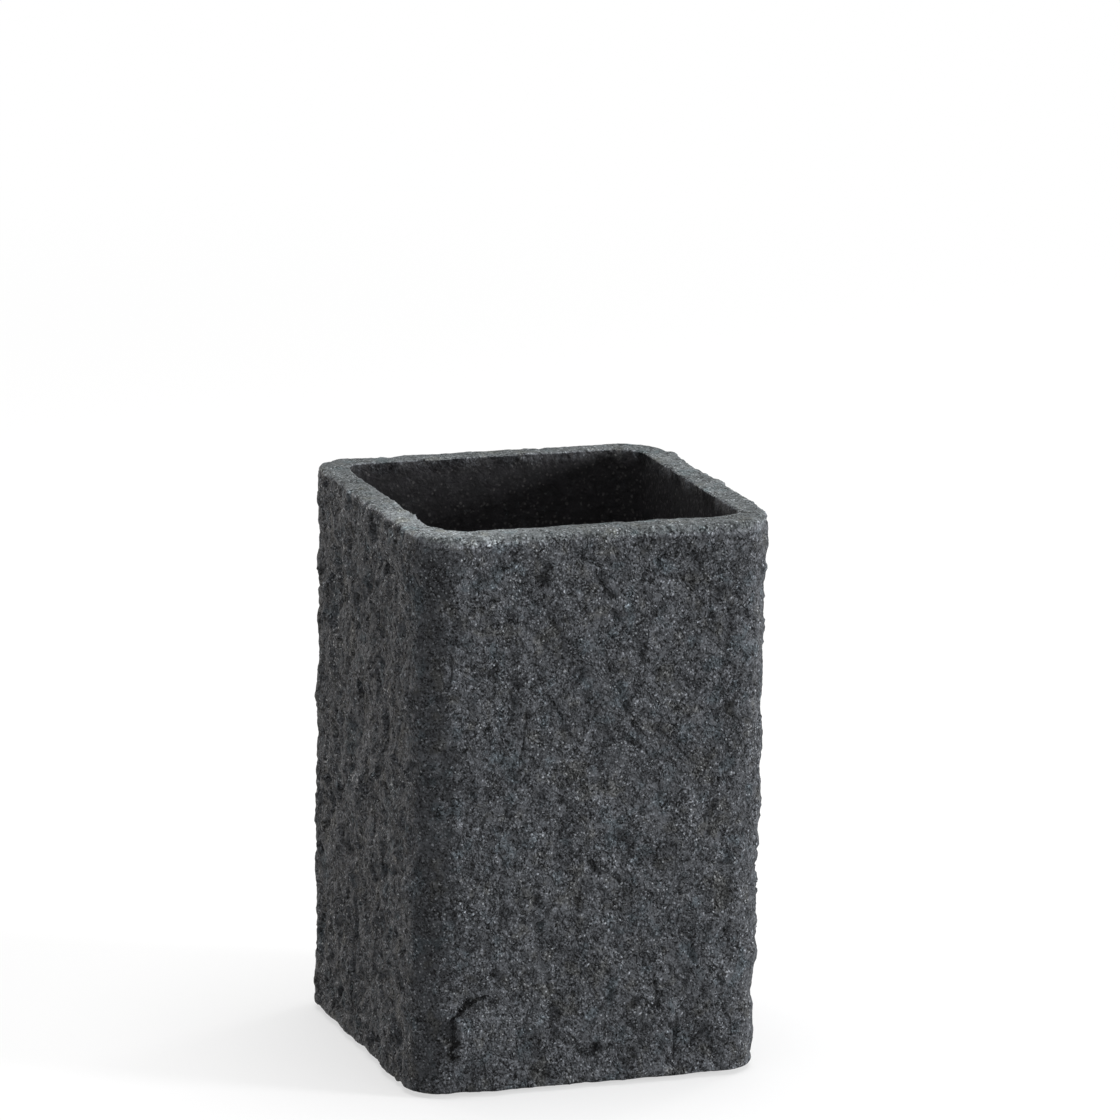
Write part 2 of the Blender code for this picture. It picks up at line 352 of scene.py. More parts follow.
def markedRelief(places):  # outward movement of each place in metres, and what the finish reads of the marks
    moved = np.zeros(len(places))
    pale = np.zeros(len(places))
    crackAway = np.full(len(places), marks["noCrack"])
    crackThere = np.zeros(len(places))
    for turn in range(4):
        angle = -turn * math.pi / 2
        across = (places[:, 0] * math.cos(angle) - places[:, 1] * math.sin(angle)) / mm
        away = -(places[:, 0] * math.sin(angle) + places[:, 1] * math.cos(angle)) / mm
        flat = np.stack((across, places[:, 2] / mm), 1)
        onSide = away > (body["depth"] / 2 - body["cornerRadius"]) / mm + marks["cornerFree"]
        for side, line, width, depth, darkness in marks["strokes"]:
            if side == turn:
                apart = lineDistance(flat, line)
                moved -= onSide * depth * mm * np.exp(-(apart / max(width, marks["narrowest"])) ** 2)
                nearer = onSide & (abs(apart / width) < abs(crackAway))
                crackAway = np.where(nearer, apart / width, crackAway)
                fading = np.clip(2 - abs(apart) / marks["crackReach"], 0, 1)
                crackThere = np.where(nearer, fading * darkness, crackThere)
        for side, outline, height, sinks in marks["flakes"]:
            if side == turn:
                outline = np.array(outline, float)
                rise = np.clip(abs(lineDistance(flat, (*outline, outline[0]))) / marks["flakeEdge"], 0, 1)
                reach = outline @ sinks
                left = (reach.max() - flat @ sinks) / (reach.max() - reach.min())
                flake = onSide * insideOutline(flat, outline) * rise * np.clip(left * marks["flakeLevel"], 0, 1)
                moved += height * mm * flake
                # painted light: the flake paler where it stands proud
                pale += marks["flakePaintedLight"] * flake
    return moved, {"pale": pale, "crackAway": crackAway, "crackThere": crackThere}


def roundedSquare(inset, radius):  # its points and outward directions, in even numbers that the cavity can halve
    sideCells = round((body["width"] - 2 * body["cornerRadius"]) / body["cell"] / 2) * 2
    cornerCells = round(math.pi / 2 * body["cornerRadius"] / body["cell"] / 2) * 2
    halfWidth = body["width"] / 2 - inset
    halfDepth = body["depth"] / 2 - inset
    inwards = min(1, inset / body["wall"])
    radii = radius * (1 - inwards * (1 - np.array(body["cavityCorners"])))
    sides = np.stack((halfWidth - radii, halfDepth - radii), 1)
    corners = np.array(((1, -1), (1, 1), (-1, 1), (-1, -1))) * sides
    points = []
    outward = []
    for turn in range(4):
        angles = math.pi / 2 * (turn - 1 + np.arange(cornerCells + 1) / cornerCells)
        away = np.stack((np.cos(angles), np.sin(angles)), 1)
        steps = np.arange(1, sideCells)[:, None] / sideCells
        nextStart = corners[(turn + 1) % 4] + radii[(turn + 1) % 4] * away[-1]
        ended = corners[turn] + radii[turn] * away[-1]
        points += [corners[turn] + radii[turn] * away, ended + (nextStart - ended) * steps]
        outward += [away, np.repeat(away[-1:], sideCells - 1, 0)]
    return np.concatenate(points), np.concatenate(outward)


def bodyLevels():  # from the underside over the rim to the cavity's floor
    b = body
    quarter = [math.pi / 2 * step / b["edgeSteps"] for step in range(b["edgeSteps"] + 1)]
    levels = []

    def level(inset, height, radius, **shares):
        none = {"relief": 0.0, "rough": 0.0, "wear": 0.0, "cavity": 0.0, "face": 0.0}
        levels.append({**none, "inset": inset, "height": height, "radius": radius, **shares})

    for angle in quarter:
        inset = b["draft"] + b["baseRound"] * (1 - math.sin(angle))
        height = b["bottom"] + b["baseRound"] * (1 - math.cos(angle))
        rough = b["baseRough"] + (b["footRough"] - b["baseRough"]) * math.sin(angle)
        level(inset, height, b["cornerRadius"] - inset, relief=b["baseRelief"], rough=rough)
    low = b["bottom"] + b["baseRound"]
    high = b["top"] - b["rimOuterRound"]
    cells = round((high - low) / b["cell"])
    for cell in range(1, cells):
        up = cell / cells
        edge = min(1, cell / b["footCells"])
        inset = b["draft"] * (1 - up)
        height = low + (high - low) * up
        relief = b["baseRelief"] + (1 - b["baseRelief"]) * edge
        rough = b["footRough"] + (1 - b["footRough"]) * edge
        wear = b["rimEdgeWearAndHighlight"] * max(0, 1 - (high - height) / b["rimFade"])
        level(inset, height, b["cornerRadius"] - inset, relief=relief, rough=rough, wear=wear, face=1)

    def rimRadius(inset):
        return b["cornerRadius"] + (b["cavityRadius"] - b["cornerRadius"]) * inset / b["wall"]

    for angle in quarter:
        inset = b["rimOuterRound"] * (1 - math.cos(angle))
        height = high + b["rimOuterRound"] * math.sin(angle)
        wear = b["rimEdgeWearAndHighlight"] + (1 - b["rimEdgeWearAndHighlight"]) * math.sin(angle)
        level(inset, height, rimRadius(inset), relief=b["rimRelief"], rough=1, wear=wear, face=1 - math.sin(angle))
    flat = b["wall"] - b["rimOuterRound"] - b["rimInnerRound"]
    cells = round(flat / b["rimCell"])
    for cell in range(1, cells):
        inwards = cell / cells
        inset = b["rimOuterRound"] + flat * inwards
        rough = 1 - (1 - b["rimRough"]) * inwards
        level(inset, b["top"], rimRadius(inset), relief=b["rimRelief"] * (1 - inwards), rough=rough, wear=1)
    for angle in quarter:
        inset = b["wall"] - b["rimInnerRound"] * (1 - math.sin(angle))
        height = b["top"] - b["rimInnerRound"] * (1 - math.cos(angle))
        inner = 1 - math.cos(angle)
        rough = b["rimRough"] - (b["rimRough"] - b["cavityRough"]) * inner
        level(inset, height, rimRadius(inset), rough=rough, wear=math.cos(angle), cavity=b["cavityStart"] * inner)
    top = b["top"] - b["rimInnerRound"]
    low = b["bottom"] + b["floor"] + b["cavityFloorRound"]
    cells = round((top - low) / b["cavityCell"])
    for cell in range(1, cells):
        narrowing = b["cavityDraft"] * cell / cells
        height = top + (low - top) * cell / cells
        level(b["wall"] + narrowing, height, b["cavityRadius"] - narrowing, cavity=1)
    for angle in quarter:
        narrowing = b["cavityDraft"] + b["cavityFloorRound"] * (1 - math.cos(angle))
        height = low - b["cavityFloorRound"] * math.sin(angle)
        level(b["wall"] + narrowing, height, b["cavityRadius"] - narrowing, cavity=1)
    return levels


def addUnderside(mesh, ring):  # the flat underside, with a pocket round each foot
    edges = [mesh.edges.get((ring[i - 1], ring[i])) for i in range(len(ring))]
    sides = body["pocketSides"]
    for corner in ("front_left", "front_right", "back_left", "back_right"):
        footLow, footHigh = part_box("foot_" + corner)
        tapeLow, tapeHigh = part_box("foot_tape_" + corner)
        gap = tapeLow.z - footHigh.z
        radius = (footHigh.x - footLow.x) / 2 + gap
        middle = (footLow + footHigh) / 2
        angles = [2 * math.pi * side / sides for side in range(sides)]
        circle = [(middle.x + radius * math.cos(angle), middle.y + radius * math.sin(angle)) for angle in angles]
        mouth, roof = ([mesh.verts.new((*place, height)) for place in circle]
                       for height in (body["bottom"], tapeHigh.z + gap))
        for i in range(sides):
            mesh.faces.new((mouth[i - 1], roof[i - 1], roof[i], mouth[i]))
        mesh.faces.new(reversed(roof))
        edges += [mesh.edges.get((mouth[i - 1], mouth[i])) for i in range(sides)]
    bmesh.ops.triangle_fill(mesh, use_beauty=True, use_dissolve=False, edges=edges, normal=(0, 0, -1))


def ringFaces(rings):  # between rings of points with the same number, or half as many in the upper one
    faces = []
    for lower, upper in zip(rings, rings[1:]):
        count = len(upper)
        if len(lower) == count:
            faces += [(lower[i - 1], lower[i], upper[i], upper[i - 1]) for i in range(count)]
            continue
        for i in range(count):
            before, middle, after = lower[2 * i], lower[2 * i + 1], lower[(2 * i + 2) % len(lower)]
            here, there = upper[i], upper[(i + 1) % count]
            faces += [(before, middle, here), (middle, there, here), (middle, after, there)]
    return faces + [tuple(rings[-1])]


def makeBodyMesh():
    places = []
    aways = []
    shares = {name: [] for name in ("rough", "wear", "cavity", "pale", "crackAway", "crackThere")}
    rings = []
    count = 0
    for level in bodyLevels():
        points, outward = roundedSquare(level["inset"], level["radius"])
        if level["height"] < body["top"] - body["rimInnerRound"] and level["cavity"] == 1:
            points, outward = points[::2], outward[::2]  # the smooth cavity does with half as many points
        row = np.column_stack((points, np.full(len(points), level["height"])))
        away = np.column_stack((outward, np.zeros(len(points))))
        corner = np.minimum(1, np.abs(outward).min(1) / body["cornerRamp"])
        calmed = 1 - corner * np.where(outward[:, 0] < 0, body["leftCornerCalm"], body["rightCornerCalm"])
        sideways = np.clip((abs(outward[:, 0]) - body["sideStart"]) / (1 - body["sideStart"]), 0, 1)
        factors = {"rough": calmed, "wear": 1 - body["sideCrisp"] * sideways * level["face"]}
        if level["relief"]:
            broad = np.array([broadRelief(Vector(point)) for point in row])
            marked, read = markedRelief(row)
            level.update(read)
            row = row + away * ((broad + marked) * level["relief"] * calmed)[:, None]
        rings.append(range(count, count + len(row)))
        count += len(row)
        places.append(row)
        aways.append(away)
        for name in shares:
            shares[name].append(np.full(len(row), level.get(name, 0.0)) * factors.get(name, 1))

    made = bpy.data.meshes.new("castBody")
    made.from_pydata(np.concatenate(places).tolist(), [], ringFaces(rings))
    for name, values in shares.items():
        made.attributes.new(name, "FLOAT", "POINT").data.foreach_set("value", np.concatenate(values))
    made.attributes.new("outward", "FLOAT_VECTOR", "POINT").data.foreach_set("vector", np.concatenate(aways).ravel())
    mesh = bmesh.new()
    mesh.from_mesh(made)
    mesh.verts.ensure_lookup_table()
    addUnderside(mesh, [mesh.verts[i] for i in rings[0]])
    for face in mesh.faces:
        face.smooth = True
    mesh.to_mesh(made)
    mesh.free()
    made.set_sharp_from_angle(angle=math.radians(body["sharpAngle"]))
    return made


# Relief that a geometry tree adds along the surface's normals

stoneRelief = {  # the tree's inputs
    "Facet Size": 3.6 * mm,
    "Facet Tilt": 0.24,
    "Chip Size": 1.9 * mm,
    "Chip Tilt": 0.20,
    "Flake Size": 9 * mm,
    "Flake Step": 0.50 * mm,
    "Fold Size": 4.4 * mm,
    "Fold Height": 0.85 * mm,
    "Rough Size": 2.0 * mm,
    "Rough Height": 0.30 * mm,
    "Streak Size": 2.6 * mm,
    "Streak Height": 0.60 * mm,
    "Side Gain": 0.35,
    "Pit Size": 2.6 * mm,
    "Pit Depth": 0.18 * mm,
    "Set Back": 0.16 * mm,
    "Hollow Depth": 0.30 * mm,
    "Rim Size": 3.4 * mm,
    "Rim Wave": 1.3 * mm,
    "Box Low": Vector((cadLow.x, cadLow.y, body["bottom"])),
    "Box High": cadHigh,
}

reliefForm = {
    # Noises: detail, roughness and warp
    "plateNoise": (3.0, 0.45, 0.4),
    "foldNoise": (4.0, 0.55, 0.5),
    "gritNoise": (4.0, 0.62),
    "streakNoise": (4.0, 0.60, 0.3),
    "rimNoise": (3.0, 0.6),
    "edgeNoise": (4.0, 0.6),
    "plateSteps": 6,
    "plateDrop": (0.68, 0.98),         # the part of each step in which the surface drops to the next plate
    "plateWhere": (0.40, 0.55),
    "foldSquash": (1.0, 1.0, 0.7),     # draws the folds out upwards
    "foldCrest": 0.09,
    "pitBend": 0.7,
    "pitEdge": (0.28, 0.14),
    "pitChance": (0.45, 0.85),
    "sideways": (0.93, 0.995),         # how far to the left or right a face has to look to get streaks
    "streakLine": (0.0, 0.25, 1.0),
    "streakDraw": 0.72,
    "rimCalm": 0.7,
    "rimMiddle": 0.47,
    "edgeStretch": 1.8,                # the waves of the rim's outer edge, in the rim's own
    "edgeRough": 1.15,
    "edgeGain": 4,
}


def newGeometryTree(name, sizes):
    group = bpy.data.node_groups.new(name, "GeometryNodeTree")
    group.interface.new_socket("Geometry", in_out="INPUT", socket_type="NodeSocketGeometry")
    for key, value in sizes.items():
        kind = {int: "NodeSocketInt", float: "NodeSocketFloat", Vector: "NodeSocketVector"}[type(value)]
        group.interface.new_socket(key, in_out="INPUT", socket_type=kind)
    group.interface.new_socket("Finish", in_out="INPUT", socket_type="NodeSocketMaterial")
    group.interface.new_socket("Geometry", in_out="OUTPUT", socket_type="NodeSocketGeometry")
    tree = Tree(group)
    start = tree.add("NodeGroupInput")
    return group, tree, start, {key: tree.other(start, key) for key in sizes}


def storedValue(tree, name, kind="FLOAT"):
    return tree.add("GeometryNodeInputNamedAttribute", {"data_type": kind}, {"Name": name})


def storeValue(tree, geometry, name, value, domain):
    settings = {"data_type": "FLOAT", "domain": domain}
    values = {"Geometry": geometry, "Name": name, "Value": value}
    return tree.add("GeometryNodeStoreNamedAttribute", settings, values)


def finishGeometryTree(tree, start, geometry, size):  # keeps it in the solid's box, and gives it its material
    real = tree.add("GeometryNodeRealizeInstances", {}, {"Geometry": geometry})
    place = tree.add("GeometryNodeInputPosition")
    kept = tree.vector("MINIMUM", tree.vector("MAXIMUM", place, size["Box Low"]), size["Box High"])
    boxed = tree.add("GeometryNodeSetPosition", {}, {"Geometry": real, "Position": kept})
    done = tree.add("GeometryNodeSetMaterial", {}, {"Geometry": boxed, "Material": tree.other(start, "Finish")})
    tree.feed(tree.nodes.new("NodeGroupOutput").inputs["Geometry"], done)


def makeReliefTree():
    group, tree, start, size = newGeometryTree("stoneRelief", stoneRelief)
    form = reliefForm
    place = tree.add("GeometryNodeInputPosition")
    normal = tree.add("GeometryNodeInputNormal")
    rough = storedValue(tree, "rough")
    wear = storedValue(tree, "wear")
    outward = storedValue(tree, "outward", "FLOAT_VECTOR")

    def waves(length, detail, roughness=0.5, warp=0.0, shift=0.0):
        return tree.noise(tree.vector("ADD", place, (shift,) * 3), length, detail, roughness, warp)

    facets = tree.planes(place, size["Facet Size"], size["Facet Tilt"])
    chips = tree.planes(place, size["Chip Size"], size["Chip Tilt"], shift=0.03)

    # level plates with a short step between them, in places
    level = waves(size["Flake Size"], *form["plateNoise"]) * form["plateSteps"]
    part = level.math("FRACT")
    plates = level - part + part.between(*form["plateDrop"])
    there = waves(size["Flake Size"], 0.0, shift=0.05).between(*form["plateWhere"])
    flakes = (plates - level) * size["Flake Step"] * there

    # folds with sharp crests
    squat = tree.vector("MULTIPLY", place, form["foldSquash"])
    crest = (tree.noise(squat, size["Fold Size"], *form["foldNoise"]) - 0.5).math("ABSOLUTE")
    folds = (form["foldCrest"] - crest) * size["Fold Height"]

    # grit, and pits whose outlines it bends
    grit = (waves(size["Rough Size"], *form["gritNoise"]) - 0.5) * size["Rough Height"]
    drift = tree.other(waves(size["Rough Size"], 2.0), "Color")
    bend = tree.vector("SCALE", drift, scale=size["Pit Size"] * form["pitBend"])
    holes = tree.cells(tree.vector("ADD", place, bend), size["Pit Size"])
    chance = tree.add("ShaderNodeSeparateXYZ", {}, {"Vector": tree.other(holes, "Color")})
    pits = holes.between(*form["pitEdge"]) * chance.between(*form["pitChance"]) * size["Pit Depth"]

    # upright streaks on the left and right faces, leaning a little
    turned = tree.vector("DOT_PRODUCT", outward, (1.0, 0.0, 0.0), output="Value")
    sideways = turned.math("ABSOLUTE").between(*form["sideways"])
    upright = tree.squashed(place, form["streakLine"], form["streakDraw"])
    drawn = tree.noise(upright, size["Streak Size"], *form["streakNoise"])
    streaks = (drawn - 0.5) * 2 * size["Streak Height"] * sideways

    across = facets + chips + flakes + folds + streaks + grit - pits - size["Set Back"]
    across = across * (sideways * size["Side Gain"] + 1) * rough * (1 - wear * form["rimCalm"])

    # the rim's top dips in places, and its outer edge runs in and out
    wave = (waves(size["Rim Size"], *form["rimNoise"], shift=0.02) - form["rimMiddle"]) * size["Rim Wave"] * wear
    dip = tree.add("ShaderNodeCombineXYZ", {}, {"Z": wave.math("MINIMUM", 0.0)})
    uneven = waves(size["Rim Size"] * form["edgeStretch"], *form["edgeNoise"], shift=0.07) - 0.5
    uneven = uneven * size["Rim Wave"] * (form["edgeRough"] - rough) * wear * form["edgeGain"]
    edge = tree.vector("SCALE", outward, scale=uneven)

    offset = tree.vector("ADD", tree.vector("SCALE", normal, scale=across), tree.vector("ADD", dip, edge))
    moved = tree.add("GeometryNodeSetPosition", {}, {"Geometry": start, "Offset": offset})
    # how far each point stands out, by which the stone's colour paints shade into the hollows
    standing = (across + size["Set Back"]) / size["Hollow Depth"]
    finishGeometryTree(tree, start, storeValue(tree, moved, "standing", standing, "POINT"), size)
    return group


# Mineral grains that stand a little out of the stone

mineralGrains = {
    "Seed": 7,
    "Per Square Metre": 240000.0,
    "Smallest": 0.09 * mm,
    "Largest": 0.22 * mm,
    "Sunk": 0.07 * mm,
    "Box Low": Vector((cadLow.x, cadLow.y, body["bottom"])),
    "Box High": cadHigh,
}


def makeGrainTree():
    group, tree, start, size = newGeometryTree("mineralGrains", mineralGrains)
    narrowest = 0.55  # of the longest way through a grain
    values = {"Mesh": start, "Density": storedValue(tree, "rough") * size["Per Square Metre"], "Seed": size["Seed"]}
    points = tree.add("GeometryNodeDistributePointsOnFaces", {}, values)
    crystal = tree.add("GeometryNodeMeshUVSphere", {}, {"Segments": 4, "Rings": 2, "Radius": 1.0})

    def random(seed, low=0.0, high=1.0):
        values = {2: low, 3: high, "Seed": seed}
        return tree.add("FunctionNodeRandomValue", {"data_type": "FLOAT"}, values, 1)

    def randomVector(seed, low, high):
        values = {0: (low,) * 3, 1: (high,) * 3, "Seed": seed}
        return tree.add("FunctionNodeRandomValue", {"data_type": "FLOAT_VECTOR"}, values)

    radius = random(4) * (size["Largest"] - size["Smallest"]) + size["Smallest"]
    shape = tree.vector("SCALE", randomVector(3, narrowest, 1.0), scale=radius)
    turn = randomVector(5, 0.0, 2 * math.pi)
    sunk = tree.vector("SCALE", tree.other(points, "Normal"), scale=size["Sunk"] * -1)
    points = tree.add("GeometryNodeSetPosition", {}, {"Geometry": points, "Offset": sunk})
    values = {"Points": points, "Instance": crystal, "Rotation": turn, "Scale": shape}
    grains = tree.add("GeometryNodeInstanceOnPoints", {}, values)
    finishGeometryTree(tree, start, storeValue(tree, grains, "tone", random(6), "INSTANCE"), size)
    return group


def applyTree(name, mesh, group, sizes, material):  # runs a geometry tree on a mesh and returns a plain object
    source = bpy.data.objects.new(name + "Source", mesh)
    bpy.context.scene.collection.objects.link(source)
    modifier = source.modifiers.new(group.name, "NODES")
    modifier.node_group = group
    sockets = {item.name: item.identifier for item in group.interface.items_tree if item.in_out == "INPUT"}
    for key, value in sizes.items():
        modifier[sockets[key]] = value
    modifier[sockets["Finish"]] = material
    depsgraph = bpy.context.evaluated_depsgraph_get()
    plain = bpy.data.meshes.new_from_object(source.evaluated_get(depsgraph), depsgraph=depsgraph)
    bpy.data.objects.remove(source, do_unlink=True)
    made = bpy.data.objects.new(name, plain)
    bpy.context.scene.collection.objects.link(made)
    return made


# Stone finish, with painted shade and painted light in its tone

stone = {
    "base": (0.076, 0.080, 0.087, 1),
    "teal": (0.90, 1.02, 1.05, 1),          # these three multiply the base
    "olive": (1.04, 1.00, 0.90, 1),
    "rim": (1.22, 1.26, 1.19, 1),
    "quartz": (0.36, 0.38, 0.40, 1),
    # the cavity's colour: a darker finish, made darker still as painted shade for the deep cup
    "cavity": (0.0078, 0.0073, 0.0084, 1),
    "mote": (0.056, 0.054, 0.054, 1),       # pale specks in the cavity
    "tintShare": 0.8,
    "quartzShare": 0.75,
    "roughness": 0.90,
    "quartzGloss": 0.35,
    "cavityGloss": 0.2,
    "shine": 0.2,

    # Noises: size, detail, roughness and warp
    "patches": (2.4 * mm, 3.0, 0.55),
    "fine": (0.34 * mm, 2.0, 0.6),
    "lumps": (1.9 * mm, 4.0, 0.55, 0.4),
    "mottle": (3.2 * mm, 3.0, 0.6),
    "speckled": (4.08 * mm, 3.0, 0.6),
    "tint": (4.5 * mm, 3.0, 0.6),
    "clusters": (7 * mm, 3.0),

    # Cells and plates
    "grainSize": 0.46 * mm,
    "grainBend": 0.95 * mm,
    "poreSize": 1.30 * mm,
    "prickSize": 0.85 * mm,
    "speckSize": 0.33 * mm,
    "crystalSize": 0.60 * mm,
    "splitSize": 1.35 * mm,
    "crumbSize": 0.62 * mm,
    "splitTilt": 0.9,
    "ledgeSize": 7.0 * mm,
    "shelfSize": 2.2 * mm,
    "ledgeSteps": 4,
    "slant": (0.55, 0.45, -0.70),           # the direction along which ledges and shelves are drawn out
    "drawnOut": 0.55,

    # Soft steps: where each begins, and where it is full
    "patchStep": (0.40, 0.62),
    "grainEdge": (0.35, 0.70),
    "poreEdge": (0.30, 0.15),
    "poreChance": (0.60, 0.75),
    "prickEdge": (0.30, 0.18),
    "prickChance": (0.65, 0.80),
    "ledgeWhere": (0.44, 0.56),
    "speckledStep": (0.42, 0.60),
    "darkChance": (0.90, 0.95),
    "paleChance": (0.95, 0.99),
    "crackEdge": (1.25, 0.45),
    "crackWhere": (0.36, 0.50),
    "tealWhere": (0.54, 0.68),
    "oliveWhere": (0.45, 0.32),
    "crystalEdge": (0.38, 0.20),
    "crystalWhere": (0.54, 0.66),
    "crystalChance": (0.50, 0.68),          # in the clusters
    "loneChance": (0.965, 0.985),           # everywhere
    "crystalRise": (88 * mm, 104 * mm),     # the clusters get larger towards the rim
    "moteEdge": (0.48, 0.22),
    "moteTone": (0.08, 0.95),
    "wornStep": (0.45, 0.95),               # of the rim's worn finish and of the cavity's dark colour, which is partly painted shade
    "rimBand": (0.30, 0.65),                # painted highlight: the band below the rim's edge is painted paler, where the top light falls on the rounding; it follows the worn share
    "rimPaleAt": (-32 * mm, -24 * mm, 106 * mm),   # the rim is paler round this place
    "rimPaleReach": (34 * mm, 6 * mm),

    # How much more often these come in the patches, and crystals near the rim
    "poreGather": 0.3,
    "prickGather": 0.4,
    "darkGather": 0.13,
    "paleGather": 0.05,
    "crystalGather": 0.07,

    # How ragged the cracks' edges are, how far they fade in places, and how the lumps and the grain break up the
    # edges of the rim's worn finish and of the cavity's dark colour, which is partly painted shade
    "crackRagged": 2.2,
    "crackFaint": 0.4,
    "wornBreak": (1.2, 0.6),
    "cavityBreak": (0.9, 0.6),

    # How much each pattern changes the tone, in doublings of the brightness. Lumps, pores, pricks, ledges, shelves,
    # cracks and standing carry painted shade and light, and rimBand a painted highlight
    "tones": {
        "all": 0.23, "grain": 1.1, "grainEdge": 0.7, "fine": 3.0, "calmest": 0.48, "patchGain": 0.9, "patch": 0.15,
        "lumps": 0.4, "mottle": 1.1, "pores": 1.1, "pricks": 1.5, "ledges": 0.5, "shelves": 0.35, "pale": 1.4,
        "dark": 1.6, "darkGain": 1.2, "cracks": 0.72, "standing": 0.10, "rimCalm": 0.2, "rimPale": 1.00,
        "rimBand": 2.0, "cavityFine": 3.6, "cavityPatch": 0.9,
    },

    # The bump's heights in mm
    "heights": {
        "fine": 0.28, "grain": 0.20, "calmest": 0.40, "patchGain": 0.9, "lumps": 0.48, "pores": 0.20, "pricks": 0.12,
        "ledges": 0.65, "shelves": 0.32, "cracks": 0.12, "rimCalm": 0.4, "cavityCalm": 0.9,
    },
}


def newMaterial(name):
    made = bpy.data.materials.new(name)
    made.use_nodes = True
    tree = Tree(made.node_tree)
    shader = made.node_tree.nodes["Principled BSDF"]
    place = tree.add("ShaderNodeTexCoord", output="Object")
    return made, tree, shader, place


def randomOf(tree, cells, channel=0):  # one random number for each cell of a Voronoi pattern
    return tree.add("ShaderNodeSeparateColor", {}, {"Color": tree.other(cells, "Color")}, channel)


def makeStone():
    made, tree, shader, place = newMaterial("castStone")
    tones, heights = stone["tones"], stone["heights"]
    wear, cavity, standing, paintedFlakeLight, crackAway, crackThere = (
        tree.add("ShaderNodeAttribute", {"attribute_name": name}, output="Fac")
        for name in ("wear", "cavity", "standing", "pale", "crackAway", "crackThere"))

    patch = tree.noise(place, *stone["patches"]).between(*stone["patchStep"])
    fine, lumps, mottle = (tree.noise(place, *stone[name]) for name in ("fine", "lumps", "mottle"))
    bent = tree.vector("ADD", place, tree.vector("SCALE", tree.other(lumps, "Color"), scale=stone["grainBend"]))
    grain = tree.cells(bent, stone["grainSize"])

    def brokenEdge(mask, amounts):
        return (mask + (lumps - 0.5) * amounts[0] + (fine - 0.5) * amounts[1]).between(*stone["wornStep"])

    # holes in the stone, more of them in the patches; they are painted darker, as painted shade inside them
    holes = tree.cells(bent, stone["poreSize"])
    pores = (randomOf(tree, holes) + patch * stone["poreGather"]).between(*stone["poreChance"])
    pores = holes.between(*stone["poreEdge"]) * pores
    pricks = tree.cells(bent, stone["prickSize"])
    pricked = (randomOf(tree, pricks) + patch * stone["prickGather"]).between(*stone["prickChance"])
    pricked = pricks.between(*stone["prickEdge"]) * pricked

    # curved ledges, and small shelves, drawn out along one slanting direction; their steps are painted darker, as
    # painted shade
    drawn = tree.squashed(place, stone["slant"], stone["drawnOut"])
    ledge, edge = tree.ledges(drawn, stone["ledgeSize"], stone["ledgeSteps"])
    ledgeThere = mottle.between(*stone["ledgeWhere"])
    shelf, lip = tree.ledges(drawn, stone["shelfSize"], stone["ledgeSteps"])

    # crisp dark and pale specks, thicker in patches
    specks = tree.cells(bent, stone["speckSize"])
    speckled = tree.noise(place, *stone["speckled"]).between(*stone["speckledStep"])
    dark = (randomOf(tree, specks) + speckled * stone["darkGather"]).between(*stone["darkChance"])
    pale = (randomOf(tree, specks, 1) + speckled * stone["paleGather"]).between(*stone["paleChance"])

    # the marked cracks, painted darker as painted shade in their grooves (raised ridges paler, as painted light), with
    # ragged and broken edges
    broken = lumps.between(*stone["crackWhere"]) * (1 - stone["crackFaint"]) + stone["crackFaint"]
    ragged = (crackAway.math("ABSOLUTE") + (fine - 0.5) * stone["crackRagged"]).between(*stone["crackEdge"])
    cracks = ragged * crackThere * broken * tones["cracks"]

    tone = (randomOf(tree, grain) - 0.5) * tones["grain"] - grain.between(*stone["grainEdge"]) * tones["grainEdge"]
    tone = (tone + (fine - 0.5) * tones["fine"]) * (patch * tones["patchGain"] + tones["calmest"])
    # the lumps also raise the bump; their low parts are painted darker and their tops paler: painted shade and light
    # on the bumps
    tone = tone + patch * tones["patch"] + (lumps - 0.5) * tones["lumps"] + (mottle - 0.5) * tones["mottle"]
    # pores and pricks painted darker: painted shade in the holes, which the bump also lowers
    tone = tone - pores * tones["pores"] - pricked * tones["pricks"]
    # the ledges' and shelves' steps painted darker: painted shade; the flakes painted paler: painted light on their
    # raised plates
    tone = tone - edge * ledgeThere * tones["ledges"] - lip * tones["shelves"] + paintedFlakeLight
    # the cracks painted darker: painted shade in the grooves, with the raised ridges among them painted paler: painted
    # light
    tone = tone - dark * (patch * tones["darkGain"] + tones["dark"]) + pale * tones["pale"] + tones["all"] - cracks
    # the hollows painted darker and the raised parts paler by how far they stand out: painted shade
    tone = (tone + standing * tones["standing"]) * (1 - wear * tones["rimCalm"])
    apart = tree.vector("DISTANCE", place, stone["rimPaleAt"], output="Value")
    tone = tone + apart.between(*stone["rimPaleReach"]) * wear * tones["rimPale"]
    # painted highlight: a pale band painted down the outer faces below the rim's edge, where the top light falls on
    # the rounding
    tone = tone + wear.between(*stone["rimBand"]) * (1 - wear) * tones["rimBand"]

    tint = tree.noise(place, *stone["tint"])
    colour = stone["base"]
    for name in ("teal", "olive"):
        there = tint.between(*stone[name + "Where"]) * stone["tintShare"]
        colour = tree.blend(there, colour, product(stone["base"], stone[name]))
    worn = brokenEdge(wear, stone["wornBreak"])
    colour = tree.blend(worn, colour, stone["rim"], "MULTIPLY")
    colour = tree.vector("SCALE", colour, scale=2 ** tone)

